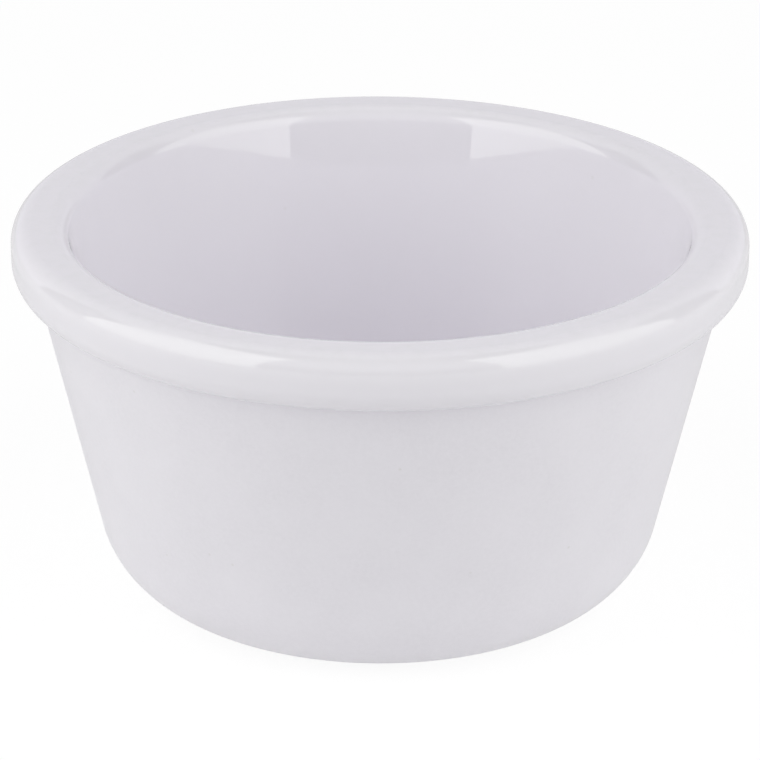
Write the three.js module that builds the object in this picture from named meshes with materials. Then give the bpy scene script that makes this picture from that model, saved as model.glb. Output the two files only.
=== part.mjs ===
// Dip bowl: a small round ramekin of pressed melamine. The body is one moulding with a thick rounded
// rim bead, a tapering wall, a large heel and a ring foot. A glossy glaze coat is pressed over the
// eating side: the floor, the inside, and the rim bead down to the crease under it.
// Millimetres, +Z up. The origin is the centre of the foot, in the plane that the bowl stands on.

import * as THREE from "three";

// Driving dimensions
const RIM_DIAMETER = 76; // across the rim bead
const HEIGHT = 40.3; // foot to the top of the rim
const BEAD_HEIGHT = 6.2; // top of the rim to the crease under the bead
const BEAD_OVERHANG = 2.5; // how far the bead stands out from the wall, and its underside's radius
const CROWN_RADIUS = 2.1; // outer top edge of the bead
const LIP_RADIUS = 1.9; // inner top edge of the bead
const WALL_DRAFT = THREE.MathUtils.degToRad(13); // lean of the wall, the same inside and out
const WALL_THICKNESS = 4.4; // glazed, square to the wall
const HEEL_RADIUS = 9.5; // outer corner between the wall and the foot
const FLOOR_HEIGHT = 4.4; // glazed floor above the standing plane
const COVE_RADIUS = 6; // inner corner between the wall and the floor
const FOOT_RING_WIDTH = 2.6; // flat of the ring that the bowl stands on
const FOOT_RECESS_DEPTH = 0.8; // underside inside the foot ring, and its corner's radius
const GLAZE_THICKNESS = 0.3;

// How finely the round forms are cut into facets
const FACETS_ROUND_AXIS = 72;
const CHORD_ERROR = 0.05;

// Places worked out from the driving dimensions
const RIM_RADIUS = RIM_DIAMETER / 2;
const CREASE_RADIUS = RIM_RADIUS - BEAD_OVERHANG;
const CREASE_HEIGHT = HEIGHT - BEAD_HEIGHT;
const SQUARE_TO_LEVEL = 1 / Math.cos(WALL_DRAFT); // a distance square to the wall, measured level

// Angles in a section, from outwards (+r) towards upwards (+z)
const DOWN = -Math.PI / 2;
const OUT = 0;
const UP = Math.PI / 2;
const IN = Math.PI;

// Radius of the wall's outer face, carried on as a cone to any height.
function outerWallRadius(height) {
  return CREASE_RADIUS - (CREASE_HEIGHT - height) * Math.tan(WALL_DRAFT);
}

// Radius of the wall's glazed inner face at any height.
function innerWallRadius(height) {
  return outerWallRadius(height) - WALL_THICKNESS * SQUARE_TO_LEVEL;
}

// An arc in the section. The offset makes it larger or smaller about its centre and leaves the number
// of facets alone, so that arcs of one corner at different depths run parallel.
function arc(centreRadius, centreHeight, radius, from, to, offset = 0) {
  const facetAngle = 2 * Math.acos(1 - CHORD_ERROR / radius);
  const facets = Math.ceil(Math.abs(to - from) / facetAngle);
  return Array.from({ length: facets + 1 }, (_, i) => {
    const angle = from + ((to - from) * i) / facets;
    return new THREE.Vector2(
      centreRadius + (radius + offset) * Math.cos(angle),
      centreHeight + (radius + offset) * Math.sin(angle),
    );
  });
}

// The eating side at a depth under its glazed surface, from the crease over the rim to the floor's centre.
function eatingSide(depth) {
  const lipHeight = HEIGHT - LIP_RADIUS;
  const lipCentre = innerWallRadius(lipHeight) + LIP_RADIUS * SQUARE_TO_LEVEL;
  const coveHeight = FLOOR_HEIGHT + COVE_RADIUS;
  const coveCentre = innerWallRadius(coveHeight) - COVE_RADIUS * SQUARE_TO_LEVEL;
  return [
    ...arc(CREASE_RADIUS, CREASE_HEIGHT + BEAD_OVERHANG, BEAD_OVERHANG, DOWN, OUT, -depth),
    ...arc(RIM_RADIUS - CROWN_RADIUS, HEIGHT - CROWN_RADIUS, CROWN_RADIUS, OUT, UP, -depth),
    ...arc(lipCentre, lipHeight, LIP_RADIUS, UP, IN - WALL_DRAFT, -depth),
    ...arc(coveCentre, coveHeight, COVE_RADIUS, OUT - WALL_DRAFT, DOWN, depth),
    new THREE.Vector2(0, FLOOR_HEIGHT - depth),
  ];
}

// The underside and the outer wall, from the centre of the foot recess to the crease.
function outerSide() {
  const heelCentre = outerWallRadius(HEEL_RADIUS) - HEEL_RADIUS * SQUARE_TO_LEVEL;
  const ringInside = heelCentre - FOOT_RING_WIDTH;
  return [
    new THREE.Vector2(0, FOOT_RECESS_DEPTH),
    ...arc(ringInside - FOOT_RECESS_DEPTH, 0, FOOT_RECESS_DEPTH, UP, OUT),
    ...arc(heelCentre, HEEL_RADIUS, HEEL_RADIUS, DOWN, OUT - WALL_DRAFT),
    new THREE.Vector2(CREASE_RADIUS, CREASE_HEIGHT),
  ];
}

// A piece turned about the bowl's axis from a section that starts and ends on it.
function turned(name, section, material) {
  const geometry = new THREE.LatheGeometry(section, FACETS_ROUND_AXIS);
  geometry.rotateX(Math.PI / 2); // the lathe's axis is Y, the bowl's is Z
  const mesh = new THREE.Mesh(geometry, material);
  mesh.name = name;
  return mesh;
}

function mouldedBody() {
  const satinMelamine = new THREE.MeshStandardMaterial({ color: 0xe6e4e8, roughness: 0.45, metalness: 0 });
  return turned("moulded_body", [...outerSide(), ...eatingSide(GLAZE_THICKNESS)], satinMelamine);
}

function glazeCoat() {
  const glossGlaze = new THREE.MeshStandardMaterial({ color: 0xe8e7ea, roughness: 0.1, metalness: 0 });
  const backing = eatingSide(GLAZE_THICKNESS).reverse();
  return turned("glaze_coat", [...backing, ...eatingSide(0)], glossGlaze);
}

const dipBowl = new THREE.Group();
dipBowl.name = "dip_bowl";
dipBowl.add(mouldedBody(), glazeCoat());

export default dipBowl;
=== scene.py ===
"""Studio look of a small round dip bowl: a pressed melamine body with a glossy glaze on its eating side.

The bowl stands on a plain white floor between two soft boxes, seen from a little above. Everything is in
metres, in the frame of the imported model: +Z up, the origin at the centre of the foot.
"""

import logging
import math
from dataclasses import dataclass, field
from enum import Enum
from itertools import pairwise
from typing import Any

import bpy
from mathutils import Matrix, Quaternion, Vector


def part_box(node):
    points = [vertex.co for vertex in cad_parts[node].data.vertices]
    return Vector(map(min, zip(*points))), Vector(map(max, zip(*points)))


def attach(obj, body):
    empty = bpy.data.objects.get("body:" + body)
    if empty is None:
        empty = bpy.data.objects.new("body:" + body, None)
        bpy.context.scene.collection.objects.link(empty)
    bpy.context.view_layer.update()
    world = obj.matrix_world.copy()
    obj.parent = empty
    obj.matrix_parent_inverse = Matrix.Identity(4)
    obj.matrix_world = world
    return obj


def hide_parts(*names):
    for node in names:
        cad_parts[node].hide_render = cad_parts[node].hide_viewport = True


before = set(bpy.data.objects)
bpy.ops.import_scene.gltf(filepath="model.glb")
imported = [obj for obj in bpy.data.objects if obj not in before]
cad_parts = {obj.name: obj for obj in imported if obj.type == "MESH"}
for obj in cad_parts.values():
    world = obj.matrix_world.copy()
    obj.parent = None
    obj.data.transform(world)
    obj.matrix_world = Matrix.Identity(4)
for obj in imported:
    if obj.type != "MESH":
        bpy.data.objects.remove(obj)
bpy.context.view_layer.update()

LOG = logging.getLogger("dip_bowl")
MM = 0.001
SHARPEST_SMOOTHED = math.radians(35)

Point = tuple[float, float]
Span = tuple[float, float]
Colour = tuple[float, float, float, float]


class Heading(Enum):
    """Directions in a section through the bowl, as angles from outwards towards upwards."""

    DOWN = -math.pi / 2
    OUT = 0.0
    UP = math.pi / 2
    IN = math.pi


class StudioSide(Enum):
    """The side of the camera that a soft box stands on, as the sign of its bearing."""

    LEFT = -1
    RIGHT = 1


# Section and turning


def arc(centre: Point, radius: float, start: float, end: float, facets: int) -> list[Point]:
    """Points of an arc in the section.

    Args:
        centre: Radius and height of the arc's centre.
        radius: Radius of the arc.
        start: Angle of the first point, from outwards towards upwards.
        end: Angle of the last point.
        facets: Number of straight steps.

    Returns:
        The points from start to end, both included.
    """
    angles = [start + (end - start) * i / facets for i in range(facets + 1)]
    return [(centre[0] + radius * math.cos(a), centre[1] + radius * math.sin(a)) for a in angles]


def straight(start: Point, end: Point, step: float) -> list[Point]:
    """Points between two points of the section, without those two.

    Args:
        start: The point before the stretch.
        end: The point after it.
        step: Longest distance between neighbouring points.

    Returns:
        Evenly spaced points, so that smooth shading stays true next to an arc.
    """
    count = max(1, math.ceil(math.dist(start, end) / step))
    return [
        (start[0] + (end[0] - start[0]) * i / count, start[1] + (end[1] - start[1]) * i / count)
        for i in range(1, count)
    ]


def joined(stretches: list[list[Point]], step: float) -> list[Point]:
    """Arcs and points of a section joined by straight runs.

    Args:
        stretches: Arcs or single points, in the order of the section.
        step: Longest distance between points on the straight runs.

    Returns:
        One list of points along the section.
    """
    section = list(stretches[0])
    for stretch in stretches[1:]:
        section += straight(section[-1], stretch[0], step) + stretch
    return section


def turned_piece(name: str, section: list[Point], facets: int) -> bpy.types.Object:
    """Models a closed piece by drawing its section and spinning it about the bowl's axis.

    Args:
        name: Name of the new object.
        section: Radius and height of each point, from the axis out, round and back to the axis.
        facets: Number of steps round the axis.

    Returns:
        The new object, at the origin, with its faces pointing out.
    """
    merge_distance = 0.002 * MM
    bpy.ops.object.select_all(action="DESELECT")
    bpy.ops.mesh.primitive_plane_add(size=MM)
    piece = bpy.context.active_object
    piece.name = name
    piece.data.name = name
    bpy.ops.object.mode_set(mode="EDIT")
    bpy.ops.mesh.select_all(action="SELECT")
    bpy.ops.mesh.merge(type="CENTER")
    bpy.ops.transform.translate(value=(section[0][0], 0.0, section[0][1]))
    for (radius, height), (next_radius, next_height) in pairwise(section):
        step = (next_radius - radius, 0.0, next_height - height)
        bpy.ops.mesh.extrude_vertices_move(TRANSFORM_OT_translate={"value": step})
    bpy.ops.mesh.select_all(action="SELECT")
    bpy.ops.mesh.spin(steps=facets, angle=2 * math.pi, center=(0, 0, 0), axis=(0, 0, 1))
    bpy.ops.mesh.select_all(action="SELECT")
    bpy.ops.mesh.remove_doubles(threshold=merge_distance)
    bpy.ops.mesh.normals_make_consistent(inside=False)
    bpy.ops.object.mode_set(mode="OBJECT")
    bpy.ops.object.shade_smooth()
    return piece


# The bowl


@dataclass
class BowlSection:
    """Sizes of the bowl's section, and the stretches that its two pieces share."""

    bead_height: float = 6.2 * MM
    bead_overhang: float = 2.5 * MM
    crown_radius: float = 2.1 * MM
    lip_radius: float = 1.9 * MM
    wall_draft: float = math.radians(13)
    wall_thickness: float = 4.4 * MM
    heel_radius: float = 9.5 * MM
    cove_radius: float = 6.0 * MM
    foot_ring_width: float = 2.6 * MM
    foot_recess_depth: float = 0.8 * MM
    corner_facets: int = 20
    rim_facets: int = 44
    heel_facets: int = 32
    straight_step: float = 2.0 * MM
    facets_round_axis: int = 256
    rim_radius: float = field(init=False)
    height: float = field(init=False)
    floor_height: float = field(init=False)
    glaze_thickness: float = field(init=False)

    def __post_init__(self) -> None:
        """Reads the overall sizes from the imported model."""
        glaze_low, glaze_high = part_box("glaze_coat")
        body_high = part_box("moulded_body")[1]
        self.rim_radius = glaze_high.x
        self.height = glaze_high.z
        self.glaze_thickness = glaze_high.z - body_high.z
        self.floor_height = glaze_low.z + self.glaze_thickness

    @property
    def crease(self) -> Point:
        """Radius and height of the crease under the rim bead."""
        return self.rim_radius - self.bead_overhang, self.height - self.bead_height

    def level(self, square: float) -> float:
        """A distance square to the wall, measured level."""
        return square / math.cos(self.wall_draft)

    def outer_wall(self, height: float) -> float:
        """Radius of the wall's outer face at a height."""
        crease_radius, crease_height = self.crease
        return crease_radius - (crease_height - height) * math.tan(self.wall_draft)

    def inner_wall(self, height: float) -> float:
        """Radius of the wall's glazed inner face at a height."""
        return self.outer_wall(height) - self.level(self.wall_thickness)

    def eating_side(self, depth: float) -> list[Point]:
        """The eating side at a depth under its glazed surface.

        Args:
            depth: How far under the surface, up to the thickness of the glaze.

        Returns:
            Points from the crease over the rim and down the inside to the centre of the floor.
        """
        crease_radius, crease_height = self.crease
        lip_height = self.height - self.lip_radius
        lip = (self.inner_wall(lip_height) + self.level(self.lip_radius), lip_height)
        cove_height = self.floor_height + self.cove_radius
        cove = (self.inner_wall(cove_height) - self.level(self.cove_radius), cove_height)
        under = (crease_radius, crease_height + self.bead_overhang)
        crown = (self.rim_radius - self.crown_radius, self.height - self.crown_radius)
        down, out, up, inward = (h.value for h in Heading)
        count = self.corner_facets
        stretches = [
            arc(under, self.bead_overhang - depth, down, out, count),
            arc(crown, self.crown_radius - depth, out, up, self.rim_facets),
            arc(lip, self.lip_radius - depth, up, inward - self.wall_draft, self.rim_facets),
            arc(cove, self.cove_radius + depth, out - self.wall_draft, down, count),
            [(0.0, self.floor_height - depth)],
        ]
        return joined(stretches, self.straight_step)

    def outer_side(self) -> list[Point]:
        """Points of the underside and the outer wall, from the centre of the foot recess to the crease."""
        heel = (self.outer_wall(self.heel_radius) - self.level(self.heel_radius), self.heel_radius)
        recess_corner = (heel[0] - self.foot_ring_width - self.foot_recess_depth, 0.0)
        down, out, up, _ = (h.value for h in Heading)
        stretches = [
            [(0.0, self.foot_recess_depth)],
            arc(recess_corner, self.foot_recess_depth, up, out, self.corner_facets),
            arc(heel, self.heel_radius, down, out - self.wall_draft, self.heel_facets),
            [self.crease],
        ]
        return joined(stretches, self.straight_step)


# The finishes


def add_node(tree: bpy.types.NodeTree, kind: str, inputs: dict[str, Any], **settings: Any) -> bpy.types.Node:
    """Adds a node to a tree and fills its inputs.

    Args:
        tree: The material, world, lamp or group tree.
        kind: Blender's name for the node.
        inputs: For each input, a socket to link from or a value to set.
        **settings: The node's own settings.

    Returns:
        The new node.
    """
    node = tree.nodes.new(kind)
    for name, value in settings.items():
        setattr(node, name, value)
    for name, value in inputs.items():
        if isinstance(value, bpy.types.NodeSocket):
            tree.links.new(value, node.inputs[name])
        else:
            node.inputs[name].default_value = value
    return node


def new_group(name: str, takes: list[str], gives: list[str]) -> tuple[bpy.types.NodeTree, Any, Any]:
    """Starts a shader node group whose inputs and outputs are plain numbers.

    Args:
        name: Name of the group.
        takes: Names of its inputs.
        gives: Names of its outputs.

    Returns:
        The group's tree, its input node and its output node.
    """
    tree = bpy.data.node_groups.new(name, "ShaderNodeTree")
    for socket in takes:
        tree.interface.new_socket(socket, in_out="INPUT", socket_type="NodeSocketFloat")
    for socket in gives:
        tree.interface.new_socket(socket, in_out="OUTPUT", socket_type="NodeSocketFloat")
    return tree, tree.nodes.new("NodeGroupInput"), tree.nodes.new("NodeGroupOutput")


def grey(level: float) -> Colour:
    """A neutral colour of one level."""
    return (level, level, level, 1.0)


def fade(
    tree: bpy.types.NodeTree, value: bpy.types.NodeSocket, start: Any, end: Any, least: float = 0.0
) -> bpy.types.NodeSocket:
    """Adds a soft step up to 1.

    Args:
        tree: The tree that it is added to.
        value: Socket of the value to test.
        start: Number or socket at which the step gives the least.
        end: Number or socket at which it gives 1.
        least: What it gives at the start.

    Returns:
        Socket of the step.
    """
    step = add_node(
        tree,
        "ShaderNodeMapRange",
        {"Value": value, "From Min": start, "From Max": end, "To Min": least, "To Max": 1.0},
        interpolation_type="SMOOTHSTEP",
    )
    return step.outputs["Result"]


def blend(
    tree: bpy.types.NodeTree, share: bpy.types.NodeSocket, first: Any, second: Any
) -> bpy.types.NodeSocket:
    """Adds a blend of two numbers.

    Args:
        tree: The tree that it is added to.
        share: Socket of the second number's share.
        first: Number or socket at share 0.
        second: Number or socket at share 1.

    Returns:
        Socket of the blend.
    """
    mixed = add_node(tree, "ShaderNodeMapRange", {"Value": share, "To Min": first, "To Max": second})
    return mixed.outputs["Result"]


def moulding_marks() -> bpy.types.NodeTree:
    """Marks that pressing leaves: fine grain, slow mottling and a few specks, by place on the bowl.

    Returns:
        A group that takes the three scales and gives three values from 0 to 1.
    """
    speck_core, speck_edge = 0.03, 0.09
    cells_without_speck = 0.82
    takes = ["Grain Scale", "Mottle Scale", "Speck Scale"]
    tree, given, made = new_group("moulding_marks", takes, ["Grain", "Mottle", "Specks"])
    place = add_node(tree, "ShaderNodeTexCoord", {}).outputs["Object"]
    grain = add_node(
        tree,
        "ShaderNodeTexNoise",
        {"Vector": place, "Scale": given.outputs["Grain Scale"], "Detail": 2.0, "Roughness": 0.6},
    )
    mottle = add_node(
        tree,
        "ShaderNodeTexNoise",
        {"Vector": place, "Scale": given.outputs["Mottle Scale"], "Detail": 3.0, "Roughness": 0.5},
    )
    cells = add_node(
        tree,
        "ShaderNodeTexVoronoi",
        {"Vector": place, "Scale": given.outputs["Speck Scale"]},
        feature="F1",
    )
    dot = add_node(
        tree,
        "ShaderNodeMapRange",
        {
            "Value": cells.outputs["Distance"],
            "From Min": speck_core,
            "From Max": speck_edge,
            "To Min": 1.0,
            "To Max": 0.0,
        },
    )
    pick = add_node(tree, "ShaderNodeSeparateColor", {"Color": cells.outputs["Color"]})
    few = add_node(
        tree,
        "ShaderNodeMath",
        {0: pick.outputs["Red"], 1: cells_without_speck},
        operation="GREATER_THAN",
    )
    specks = add_node(
        tree,
        "ShaderNodeMath",
        {0: dot.outputs["Result"], 1: few.outputs["Value"]},
        operation="MULTIPLY",
    )
    tree.links.new(grain.outputs["Fac"], made.inputs["Grain"])
    tree.links.new(mottle.outputs["Fac"], made.inputs["Mottle"])
    tree.links.new(specks.outputs["Value"], made.inputs["Specks"])
    return tree


def rubbed_and_shaded_edge() -> bpy.types.NodeTree:
    """Wear where an edge is rubbed in use, between two heights on the bowl and broken up by noise. On the
    body's foot the same band also carries painted shade where the heel meets the floor.

    Returns:
        A group that takes the height of the most and of the least wear and the scale of the patches, and
        gives a value from 0 to 1.
    """
    unworn, fully_worn = 0.42, 0.66
    takes = ["Most Worn Height", "Least Worn Height", "Patch Scale"]
    tree, given, made = new_group("rubbed_and_shaded_edge", takes, ["Wear"])
    place = add_node(tree, "ShaderNodeTexCoord", {}).outputs["Object"]
    split = add_node(tree, "ShaderNodeSeparateXYZ", {"Vector": place})
    near = add_node(
        tree,
        "ShaderNodeMapRange",
        {
            "Value": split.outputs["Z"],
            "From Min": given.outputs["Least Worn Height"],
            "From Max": given.outputs["Most Worn Height"],
        },
    )
    patches = add_node(
        tree,
        "ShaderNodeTexNoise",
        {"Vector": place, "Scale": given.outputs["Patch Scale"], "Detail": 4.0, "Roughness": 0.65},
    )
    broken = add_node(
        tree,
        "ShaderNodeMapRange",
        {"Value": patches.outputs["Fac"], "From Min": unworn, "From Max": fully_worn},
    )
    wear = add_node(
        tree,
        "ShaderNodeMath",
        {0: near.outputs["Result"], 1: broken.outputs["Result"]},
        operation="MULTIPLY",
    )
    tree.links.new(wear.outputs["Value"], made.inputs["Wear"])
    return tree


def shaded_coat_edge() -> bpy.types.NodeTree:
    """The outside of the rim bead, from the crown down to its edge, where the coat gets duller and is painted
    darker as painted shade.

    Returns:
        A group that takes the height of the full gloss, the height of the full dullness and a radius
        inside the bead, and gives a value from 0 to 1.
    """
    takes = ["Glossy Above", "Dull Below", "Bead Inside"]
    tree, given, made = new_group("shaded_coat_edge", takes, ["Dullness"])
    place = add_node(tree, "ShaderNodeTexCoord", {}).outputs["Object"]
    split = add_node(tree, "ShaderNodeSeparateXYZ", {"Vector": place})
    level_part = {"X": split.outputs["X"], "Y": split.outputs["Y"]}
    level = add_node(tree, "ShaderNodeCombineXYZ", level_part)
    radius = add_node(tree, "ShaderNodeVectorMath", {0: level.outputs["Vector"]}, operation="LENGTH")
    outside = add_node(
        tree,
        "ShaderNodeMath",
        {0: radius.outputs["Value"], 1: given.outputs["Bead Inside"]},
        operation="GREATER_THAN",
    )
    heights = given.outputs["Glossy Above"], given.outputs["Dull Below"]
    drop = fade(tree, split.outputs["Z"], *heights)
    dullness = add_node(
        tree, "ShaderNodeMath", {0: outside.outputs["Value"], 1: drop}, operation="MULTIPLY"
    )
    tree.links.new(dullness.outputs["Value"], made.inputs["Dullness"])
    return tree


@dataclass(frozen=True)
class ShadedDullEdge:
    """How a coat looks at its edge on the outside of the rim bead, with painted shade down the bead. Heights
    and radius in metres.

    The colour darkens all the way down, as painted shade on the bead's lower face. The polish holds until
    rough_from of that change is over.
    """

    colour: Colour
    roughness: float
    rough_from: float
    glossy_above: float
    dull_below: float
    bead_inside: float

    def lay_over(
        self,
        tree: bpy.types.NodeTree,
        group: bpy.types.NodeTree,
        colour: bpy.types.NodeSocket,
        roughness: bpy.types.NodeSocket,
    ) -> tuple[bpy.types.NodeSocket, bpy.types.NodeSocket]:
        """Lays the dull edge, with its painted shade, over a coat.

        Args:
            tree: The coat's material tree.
            group: The shader group of the coat's edge.
            colour: Socket of the coat's colour.
            roughness: Socket of the coat's roughness.

        Returns:
            Sockets of the colour and the roughness with the edge.
        """
        edge = add_node(
            tree,
            "ShaderNodeGroup",
            {
                "Glossy Above": self.glossy_above,
                "Dull Below": self.dull_below,
                "Bead Inside": self.bead_inside,
            },
            node_tree=group,
        )
        dullness = edge.outputs["Dullness"]
        # Painted shade: the colour darkens down the outside of the bead towards the crease.
        shade_painted = add_node(
            tree, "ShaderNodeMixRGB", {"Fac": dullness, "Color1": colour, "Color2": self.colour}
        )
        unpolished = fade(tree, dullness, self.rough_from, 1.0)
        return shade_painted.outputs["Color"], blend(tree, unpolished, roughness, self.roughness)


@dataclass(frozen=True)
class MouldMarks:
    """The shader groups that the finishes share."""

    pressing: bpy.types.NodeTree
    wear: bpy.types.NodeTree
    edge: bpy.types.NodeTree


@dataclass(frozen=True)
class MelamineFinish:
    """White melamine as the mould leaves it, with the marks of pressing and of use, and painted shade at the
    body's foot and down the glaze's bead.

    The scales are in noise cells per metre, the depths in metres.
    """

    name: str
    colour: Colour
    shade: Colour
    speck_colour: Colour
    worn_and_shaded_colour: Colour
    roughness: float
    roughness_spread: float
    worn_roughness: float
    index: float
    grain_scale: float
    mottle_scale: float
    speck_scale: float
    patch_scale: float
    most_worn_and_shaded_height: float
    least_worn_and_shaded_height: float
    bump_depth: float
    bump_strength: float
    shaded_dull_edge: ShadedDullEdge | None = None

    def material(self, groups: MouldMarks) -> bpy.types.Material:
        """Makes the finish as a new material.

        Args:
            groups: The shader groups of moulding marks, wear with painted contact shade, and the coat's edge
                with its painted shade.

        Returns:
            The material.
        """
        material = bpy.data.materials.new(self.name)
        material.use_nodes = True
        tree = material.node_tree
        shader = tree.nodes["Principled BSDF"]
        shader.inputs["IOR"].default_value = self.index
        pressed = add_node(
            tree,
            "ShaderNodeGroup",
            {
                "Grain Scale": self.grain_scale,
                "Mottle Scale": self.mottle_scale,
                "Speck Scale": self.speck_scale,
            },
            node_tree=groups.pressing,
        )
        rubbed = add_node(
            tree,
            "ShaderNodeGroup",
            {
                "Most Worn Height": self.most_worn_and_shaded_height,
                "Least Worn Height": self.least_worn_and_shaded_height,
                "Patch Scale": self.patch_scale,
            },
            node_tree=groups.wear,
        )
        colour = self.colour_surface(tree, pressed, rubbed)
        roughness = self.polish_surface(tree, pressed, rubbed)
        if self.shaded_dull_edge is not None:
            colour, roughness = self.shaded_dull_edge.lay_over(tree, groups.edge, colour, roughness)
        relief = add_node(
            tree,
            "ShaderNodeBump",
            {
                "Strength": self.bump_strength,
                "Distance": self.bump_depth,
                "Height": pressed.outputs["Grain"],
            },
        )
        tree.links.new(colour, shader.inputs["Base Color"])
        tree.links.new(roughness, shader.inputs["Roughness"])
        tree.links.new(relief.outputs["Normal"], shader.inputs["Normal"])
        return material

    def colour_surface(
        self, tree: bpy.types.NodeTree, pressed: bpy.types.Node, rubbed: bpy.types.Node
    ) -> bpy.types.NodeSocket:
        """Mixes the white, its darker tone, the specks and the wear into a colour; on the body the wear
        colour is also painted shade at the foot.

        Args:
            tree: The material tree.
            pressed: The node of moulding marks.
            rubbed: The node of wear, which on the body also places the painted shade at the foot.

        Returns:
            Socket of the colour.
        """
        fine = add_node(
            tree,
            "ShaderNodeMath",
            {0: pressed.outputs["Grain"], 1: pressed.outputs["Mottle"]},
            operation="MULTIPLY",
        )
        white = add_node(
            tree,
            "ShaderNodeMixRGB",
            {"Fac": fine.outputs["Value"], "Color1": self.colour, "Color2": self.shade},
        )
        specked = add_node(
            tree,
            "ShaderNodeMixRGB",
            {"Fac": pressed.outputs["Specks"], "Color1": white.outputs["Color"], "Color2": self.speck_colour},
        )
        # Painted contact shade: on the body this darkens the foot where the heel meets the floor, on top of
        # its wear.
        worn_and_shaded = add_node(
            tree,
            "ShaderNodeMixRGB",
            {"Fac": rubbed.outputs["Wear"], "Color1": specked.outputs["Color"], "Color2": self.worn_and_shaded_colour},
        )
        return worn_and_shaded.outputs["Color"]

    def polish_surface(
        self, tree: bpy.types.NodeTree, pressed: bpy.types.Node, rubbed: bpy.types.Node
    ) -> bpy.types.NodeSocket:
        """Works the roughness out from the mottling and the wear.

        Args:
            tree: The material tree.
            pressed: The node of moulding marks.
            rubbed: The node of wear.

        Returns:
            Socket of the roughness.
        """
        least_mottle, most_mottle = 0.25, 0.75
        sheen = add_node(
            tree,
            "ShaderNodeMapRange",
            {
                "Value": pressed.outputs["Mottle"],
                "From Min": least_mottle,
                "From Max": most_mottle,
                "To Min": self.roughness - self.roughness_spread,
                "To Max": self.roughness + self.roughness_spread,
            },
        )
        return blend(tree, rubbed.outputs["Wear"], sheen.outputs["Result"], self.worn_roughness)


SATIN_MELAMINE = MelamineFinish(
    name="satin_melamine",
    colour=(0.866, 0.8415, 0.9, 1.0),
    shade=(0.776, 0.7515, 0.81, 1.0),
    speck_colour=(0.77, 0.75, 0.78, 1.0),
    # Partly wear, partly painted shade: this dark colour on the lowest 0.7 mm of the foot stands for the
    # shade where the heel meets the floor.
    worn_and_shaded_colour=(0.66, 0.63, 0.65, 1.0),
    roughness=0.34,
    roughness_spread=0.03,
    worn_roughness=0.5,
    index=1.6,
    grain_scale=2300.0,
    mottle_scale=140.0,
    speck_scale=420.0,
    patch_scale=900.0,
    most_worn_and_shaded_height=0.0,
    least_worn_and_shaded_height=0.7 * MM,
    bump_depth=0.02 * MM,
    bump_strength=0.8,
)

GLOSS_GLAZE = MelamineFinish(
    name="gloss_glaze",
    # Partly painted light: this white is set lighter than the body's white so that the inside of the bowl
    # shows brighter.
    colour=(0.922, 0.897, 0.954, 1.0),
    shade=(0.906, 0.881, 0.938, 1.0),
    speck_colour=(0.865, 0.845, 0.88, 1.0),
    worn_and_shaded_colour=(0.897, 0.877, 0.926, 1.0),
    roughness=0.018,
    roughness_spread=0.006,
    worn_roughness=0.024,
    index=1.6,
    grain_scale=260.0,
    mottle_scale=60.0,
    speck_scale=300.0,
    patch_scale=700.0,
    most_worn_and_shaded_height=40.3 * MM,
    least_worn_and_shaded_height=39.6 * MM,
    bump_depth=0.01 * MM,
    bump_strength=0.03,
    shaded_dull_edge=ShadedDullEdge(
        # Painted shade: the bead's outside darkens to this colour towards the crease.
        colour=(0.85, 0.826, 0.884, 1.0),
        roughness=0.24,
        rough_from=0.6,
        glossy_above=40.2 * MM,
        dull_below=36.9 * MM,
        bead_inside=35.4 * MM,
    ),
)


@dataclass
class MouldedBody:
    """The pressed melamine body: outer wall, heel, ring foot and the core under the glaze."""

    section: BowlSection
    dressing: bpy.types.Material
    name: str = "pressed_body"

    def build(self) -> bpy.types.Object:
        """Models the body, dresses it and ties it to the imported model."""
        points = self.section.outer_side() + self.section.eating_side(self.section.glaze_thickness)
        piece = turned_piece(self.name, points, self.section.facets_round_axis)
        bpy.ops.object.shade_smooth_by_angle(angle=SHARPEST_SMOOTHED)
        piece.data.materials.append(self.dressing)
        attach(piece, "root")
        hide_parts("moulded_body")
        return piece


@dataclass
class GlazeCoat:
    """The glaze pressed over the floor, the inside and the rim bead."""

    section: BowlSection
    dressing: bpy.types.Material
    name: str = "glaze_skin"

    def build(self) -> bpy.types.Object:
        """Models the coat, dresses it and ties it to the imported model."""
        backing = self.section.eating_side(self.section.glaze_thickness)[::-1]
        points = backing + self.section.eating_side(0.0)
        piece = turned_piece(self.name, points, self.section.facets_round_axis)
        bpy.ops.object.shade_smooth_by_angle(angle=SHARPEST_SMOOTHED)
        piece.data.materials.append(self.dressing)
        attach(piece, "root")
        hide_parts("glaze_coat")
        return piece


# The studio


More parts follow.
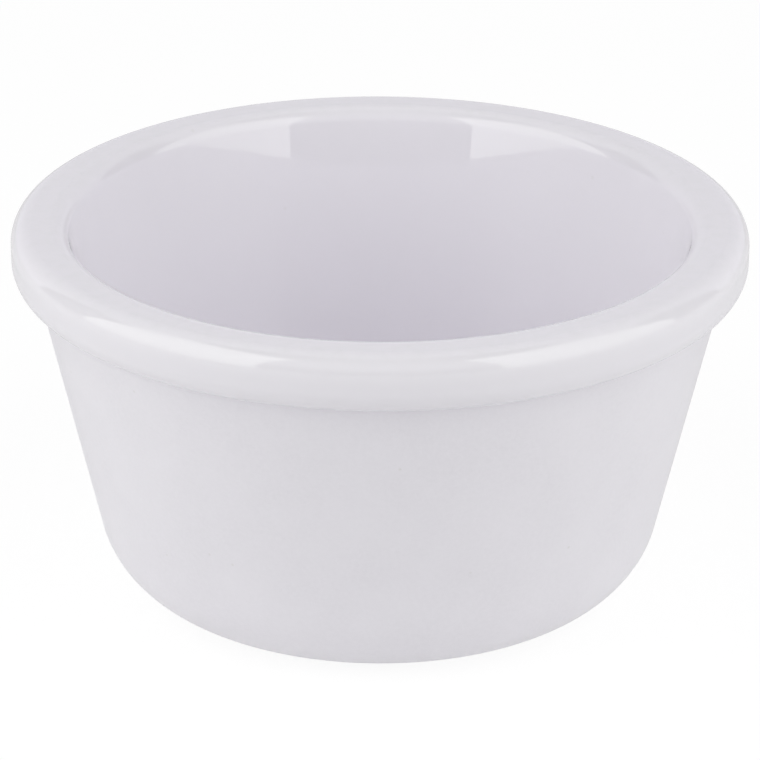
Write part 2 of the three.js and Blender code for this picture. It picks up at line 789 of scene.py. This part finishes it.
@dataclass
class SoftBox:
    """An upright soft box beside the camera, facing the bowl's axis."""

    side: StudioSide
    radiance: float
    colour: tuple[float, float, float] = (0.98, 1.0, 0.95)
    bearing: float = math.radians(65)
    distance: float = 0.42
    width: float = 0.48
    height: float = 0.80
    bottom: float = 0.02
    bright_from: float = 0.14
    bottom_share: float = 0.8
    near_edge_share: float = 0.86

    def build(self) -> bpy.types.Object:
        """Hangs the lamp in its place."""
        bearing = self.side.value * self.bearing
        towards = Vector((math.sin(bearing), -math.cos(bearing), 0.0))
        data = bpy.data.lights.new(f"soft_box_{self.side.name.lower()}", "AREA")
        data.shape = "RECTANGLE"
        data.size, data.size_y = self.width, self.height
        data.color = self.colour
        data.energy = self.radiance * math.pi * self.width * self.height
        lamp = bpy.data.objects.new(data.name, data)
        bpy.context.scene.collection.objects.link(lamp)
        lamp.location = towards * self.distance + Vector((0, 0, self.bottom + self.height / 2))
        lamp.rotation_mode = "QUATERNION"
        lamp.rotation_quaternion = (-towards).to_track_quat("-Z", "Y")
        lamp.visible_camera = False
        self.shade_front(data)
        return lamp

    def shade_front(self, data: bpy.types.Light) -> None:
        """Dims the box a little towards its bottom and towards the camera.

        Args:
            data: The lamp's data.
        """
        data.use_nodes = True
        tree = data.node_tree
        place = add_node(tree, "ShaderNodeNewGeometry", {}).outputs["Parametric"]
        split = add_node(tree, "ShaderNodeSeparateXYZ", {"Vector": place})
        far_edge = 1.0 if self.side is StudioSide.LEFT else 0.0
        low = fade(tree, split.outputs["Y"], 0.0, self.bright_from, self.bottom_share)
        across = fade(tree, split.outputs["X"], 1.0 - far_edge, far_edge, self.near_edge_share)
        share = add_node(tree, "ShaderNodeMath", {0: low, 1: across}, operation="MULTIPLY")
        tree.links.new(share.outputs["Value"], tree.nodes["Emission"].inputs["Strength"])


@dataclass
class Viewpoint:
    """The photograph's camera, worked out from the bowl's outline in a 760 by 760 pixel frame."""

    distance: float = 0.456
    elevation: float = math.radians(23.381)
    roll: float = math.radians(0.2612)
    aim_height: float = 0.02181
    focal_pixels: float = 4357.0
    axis_pixel: float = 379.5
    frame_pixels: float = 760.0
    sensor_mm: float = 36.0
    nearest_seen: float = 0.01
    farthest_seen: float = 20.0

    def build(self) -> bpy.types.Object:
        """Sets up the camera and makes it the scene's."""
        data = bpy.data.cameras.new("camera")
        data.sensor_width = self.sensor_mm
        data.lens = self.focal_pixels * self.sensor_mm / self.frame_pixels
        data.shift_x = (self.frame_pixels / 2 - self.axis_pixel) / self.frame_pixels
        data.clip_start, data.clip_end = self.nearest_seen, self.farthest_seen
        camera = bpy.data.objects.new("camera", data)
        bpy.context.scene.collection.objects.link(camera)
        back = Vector((0.0, -math.cos(self.elevation), math.sin(self.elevation)))
        camera.location = Vector((0, 0, self.aim_height)) + back * self.distance
        camera.rotation_mode = "QUATERNION"
        rolled = Quaternion((0, 0, 1), self.roll)
        camera.rotation_quaternion = (-back).to_track_quat("-Z", "Y") @ rolled
        bpy.context.scene.camera = camera
        return camera


@dataclass
class Studio:
    """White floor, soft boxes, room light and camera.

    The room's zones are told apart by bearing, as how far a direction points away from the camera (1) or
    towards it (-1), and by how far it points up (1 is straight up). Each span is where one zone fades into
    the next. The other numbers of the room are brightnesses.
    """

    floor_size: float = 6.0
    floor_drop: float = 0.02 * MM
    floor_albedo: float = 0.94
    floor_glow: float = 0.92
    mirrored_near: float = 0.86
    mirrored_far: float = 0.66
    shadow_albedo: float = 0.11
    backdrop: float = 0.66
    behind_boxes: float = 0.08
    gap: float = 0.18
    below_window: float = 0.15
    window: float = 0.5
    above_window: float = 0.38
    above_gap: float = 0.95
    above_backdrop: float = 0.25
    ceiling: float = 0.17
    room_colour: Colour = (0.957, 0.938, 1.0, 1.0)
    boxes_to_gap: Span = (0.11, 0.13)
    gap_to_backdrop: Span = (0.52, 0.55)
    boxes_to_front: Span = (-0.77, -0.84)
    window_sill: Span = (0.26, 0.42)
    window_top: Span = (0.655, 0.685)
    ceiling_edge: Span = (0.82, 0.94)
    mirrored_fade: Span = (0.06, -0.04)

    def build(self) -> None:
        """Sets up the whole studio."""
        self.lay_floor()
        self.light_room()
        SoftBox(StudioSide.LEFT, radiance=2.06).build()
        SoftBox(StudioSide.RIGHT, radiance=1.93).build()
        Viewpoint().build()
        bpy.context.scene.view_settings.view_transform = "Standard"

    def lay_floor(self) -> bpy.types.Object:
        """Lays a white floor, a hair below the foot, that shows white and keeps a soft shadow."""
        bpy.ops.object.select_all(action="DESELECT")
        bpy.ops.mesh.primitive_plane_add(size=self.floor_size, location=(0.0, 0.0, -self.floor_drop))
        floor = bpy.context.active_object
        floor.name = "floor"
        floor.data.materials.append(self.floor_material())
        return floor

    def seen_directly(self, tree: bpy.types.NodeTree) -> list[bpy.types.NodeSocket]:
        """Adds the ray tests that tell what is seen from what only lights.

        Args:
            tree: The material or world tree.

        Returns:
            Two tests: camera or transmission ray, and glossy ray.
        """
        rays = add_node(tree, "ShaderNodeLightPath", {}).outputs
        through = add_node(
            tree,
            "ShaderNodeMath",
            {0: rays["Is Camera Ray"], 1: rays["Is Transmission Ray"]},
            operation="MAXIMUM",
        )
        return [through.outputs["Value"], rays["Is Glossy Ray"]]

    def floor_material(self) -> bpy.types.Material:
        """White paper, lit plainly where it only lights the bowl, white with a faint shadow where seen.

        Returns:
            The floor's material.
        """
        material = bpy.data.materials.new("white_floor")
        material.use_nodes = True
        tree = material.node_tree
        tree.nodes.clear()
        through, glossy = self.seen_directly(tree)
        seen = add_node(tree, "ShaderNodeMath", {0: through, 1: glossy}, operation="MAXIMUM")
        paper = add_node(tree, "ShaderNodeBsdfDiffuse", {"Color": grey(self.floor_albedo)})
        shadowed = add_node(tree, "ShaderNodeBsdfDiffuse", {"Color": grey(self.shadow_albedo)})
        place = add_node(tree, "ShaderNodeTexCoord", {}).outputs["Object"]
        depth = add_node(tree, "ShaderNodeSeparateXYZ", {"Vector": place}).outputs["Y"]
        mirrored = blend(tree, fade(tree, depth, *self.mirrored_fade), self.mirrored_far, self.mirrored_near)
        shine = blend(tree, glossy, self.floor_glow, mirrored)
        glow = add_node(tree, "ShaderNodeEmission", {"Strength": shine})
        white = add_node(
            tree,
            "ShaderNodeAddShader",
            {0: shadowed.outputs["BSDF"], 1: glow.outputs["Emission"]},
        )
        choice = add_node(
            tree,
            "ShaderNodeMixShader",
            {0: seen.outputs["Value"], 1: paper.outputs["BSDF"], 2: white.outputs["Shader"]},
        )
        add_node(tree, "ShaderNodeOutputMaterial", {"Surface": choice.outputs["Shader"]})
        return material

    def light_room(self) -> None:
        """Makes a dim room: a white backdrop behind the bowl, dark gaps beside it, a window by the camera."""
        world = bpy.data.worlds.new("studio")
        bpy.context.scene.world = world
        world.use_nodes = True
        tree = world.node_tree
        tree.nodes.clear()
        where = add_node(tree, "ShaderNodeTexCoord", {})
        split = add_node(tree, "ShaderNodeSeparateXYZ", {"Vector": where.outputs["Generated"]})
        level_part = {"X": split.outputs["X"], "Y": split.outputs["Y"]}
        flat = add_node(tree, "ShaderNodeCombineXYZ", level_part)
        bearing = add_node(tree, "ShaderNodeVectorMath", {0: flat.outputs["Vector"]}, operation="NORMALIZE")
        away = add_node(tree, "ShaderNodeSeparateXYZ", {"Vector": bearing.outputs["Vector"]}).outputs["Y"]
        upwards = split.outputs["Z"]
        behind = fade(tree, away, *self.gap_to_backdrop)
        before = fade(tree, away, *self.boxes_to_front)
        past_boxes = fade(tree, away, *self.boxes_to_gap)
        at_window = fade(tree, upwards, *self.window_sill)
        past_window = fade(tree, upwards, *self.window_top)
        above = fade(tree, upwards, *self.ceiling_edge)
        lower = blend(tree, at_window, self.below_window, self.window)
        front = blend(tree, past_window, lower, self.above_window)
        beyond = blend(tree, past_window, self.gap, self.above_gap)
        sides = blend(tree, past_boxes, self.behind_boxes, beyond)
        around = blend(tree, before, sides, front)
        back = blend(tree, past_window, self.backdrop, self.above_backdrop)
        walls = blend(tree, behind, around, back)
        level = blend(tree, above, walls, self.ceiling)
        through, glossy = self.seen_directly(tree)
        mirrored = add_node(tree, "ShaderNodeMath", {0: glossy, 1: behind}, operation="MULTIPLY")
        seen = add_node(
            tree,
            "ShaderNodeMath",
            {0: through, 1: mirrored.outputs["Value"]},
            operation="MAXIMUM",
        )
        strength = blend(tree, seen.outputs["Value"], level, 1.0)
        light = add_node(tree, "ShaderNodeBackground", {"Color": self.room_colour, "Strength": strength})
        add_node(tree, "ShaderNodeOutputWorld", {"Surface": light.outputs["Background"]})


def main() -> None:
    """Builds the studio and the bowl's pieces, and reports each."""
    logging.basicConfig(level=logging.INFO, format="%(name)s: %(message)s")
    Studio().build()
    section = BowlSection()
    groups = MouldMarks(moulding_marks(), rubbed_and_shaded_edge(), shaded_coat_edge())
    body = MouldedBody(section, SATIN_MELAMINE.material(groups))
    glaze = GlazeCoat(section, GLOSS_GLAZE.material(groups))
    for part in (body, glaze):
        piece = part.build()
        LOG.info("%s: %d faces", piece.name, len(piece.data.polygons))


if __name__ == "__main__":
    main()
